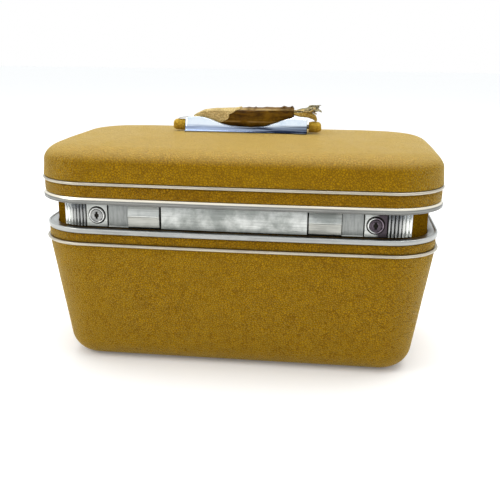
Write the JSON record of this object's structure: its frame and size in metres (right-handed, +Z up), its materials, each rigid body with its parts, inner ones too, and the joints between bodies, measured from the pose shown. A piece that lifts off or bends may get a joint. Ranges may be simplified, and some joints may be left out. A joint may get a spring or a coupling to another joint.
{
  "type": "makeup train case",
  "caption": "Hard-sided train case with a rear-hinged domed lid, recessed latch panel, strap handle on a saddle, lift-out tray, mirror and lined interior.",
  "frame": {"origin": "middle of the underside, at the centre of the bounding box's lowest face", "axes": "+X towards the case's right as seen from the front, -Y towards the front with the latches, +Z up"},
  "size_m": [0.3838, 0.218, 0.246],
  "materials": {
    "mustard_vinyl": "grained vinyl covering, low sheen",
    "trim_aluminium": "drawn aluminium, lightly tarnished",
    "satin_plate": "satin plate with fine scratches",
    "bright_chrome": "polished chrome",
    "plated_steel": "plated steel",
    "lining_fabric": "satin lining cloth",
    "cream_plastic": "moulded plastic",
    "grip_core": "worn brown core of the grip",
    "mirror_glass": "silvered glass"
  },
  "bodies": {
    "base": {"base_shell": "mustard_vinyl", "base_bead": "trim_aluminium", "base_stripe": "mustard_vinyl", "base_frame": "trim_aluminium", "neck": "mustard_vinyl", "base_lining": "lining_fabric", "tray_ledge": "cream_plastic", "back_pocket": "lining_fabric", "pocket_elastic": "lining_fabric", "centre_plate": "satin_plate", "button_well_left": "satin_plate", "lock_plate_left": "satin_plate", "lock_ring_left": "bright_chrome", "fluted_end_left": "satin_plate", "hinge_base_leaf_left": "plated_steel", "hinge_pin_left": "plated_steel", "button_well_right": "satin_plate", "lock_plate_right": "satin_plate", "lock_ring_right": "bright_chrome", "fluted_end_right": "satin_plate", "hinge_base_leaf_right": "plated_steel", "hinge_pin_right": "plated_steel", "hinge_rivet_1": "plated_steel", "hinge_rivet_2": "plated_steel", "hinge_rivet_3": "plated_steel", "hinge_rivet_4": "plated_steel"},
    "lid": {"lid_shell": "mustard_vinyl", "lid_lining": "lining_fabric", "lid_bead": "trim_aluminium", "lid_stripe": "mustard_vinyl", "lid_frame": "trim_aluminium", "mirror_frame": "trim_aluminium", "mirror": "mirror_glass", "handle_saddle": "bright_chrome", "saddle_screw_1": "plated_steel", "saddle_screw_2": "plated_steel", "handle_strap_left": "plated_steel", "handle_strap_right": "mustard_vinyl", "latch_strike_left": "plated_steel", "hinge_lid_leaf_left": "plated_steel", "handle_knob_left": "mustard_vinyl", "strap_pin_left": "plated_steel", "latch_strike_right": "plated_steel", "hinge_lid_leaf_right": "plated_steel", "handle_knob_right": "mustard_vinyl", "strap_pin_right": "plated_steel"},
    "handle": {"handle_core": "grip_core", "handle_wrap": "mustard_vinyl", "handle_collar": "mustard_vinyl"},
    "latch_left": {"latch_slider_left": "satin_plate"},
    "latch_right": {"latch_slider_right": "satin_plate"},
    "plug_left": {"lock_plug_left": "bright_chrome"},
    "plug_right": {"lock_plug_right": "bright_chrome"},
    "tray": {"tray": "cream_plastic", "tray_tab_left": "lining_fabric", "tray_tab_right": "lining_fabric"}
  },
  "joints": [
    {"name": "lid_hinge", "type": "hinge", "parent": "base", "child": "lid", "pos_m": [0, 0.099, 0.157], "axis": [-1, 0, 0], "range_deg": [0, 100]},
    {"name": "handle_lift", "type": "slide", "parent": "lid", "child": "handle", "axis": [0, 0, 1], "range_m": [0, 0.012], "deforming": ["handle_strap_right", "handle_strap_left"]},
    {"name": "latch_left_slide", "type": "slide", "parent": "base", "child": "latch_left", "axis": [-1, 0, 0], "range_m": [0, 0.01], "stiffness_N_per_m": 250, "springref_m": -0.004},
    {"name": "latch_right_slide", "type": "slide", "parent": "base", "child": "latch_right", "axis": [1, 0, 0], "range_m": [0, 0.01], "stiffness_N_per_m": 250, "springref_m": -0.004},
    {"name": "plug_left_turn", "type": "hinge", "parent": "base", "child": "plug_left", "pos_m": [-0.12825, -0.095, 0.14915], "axis": [0, 1, 0], "range_deg": [0, 90]},
    {"name": "plug_right_turn", "type": "hinge", "parent": "base", "child": "plug_right", "pos_m": [0.12825, -0.095, 0.14915], "axis": [0, -1, 0], "range_deg": [0, 90]},
    {"name": "tray_lift", "type": "slide", "parent": "base", "child": "tray", "axis": [0, 0, 1], "range_m": [0, 0.03]}
  ]
}
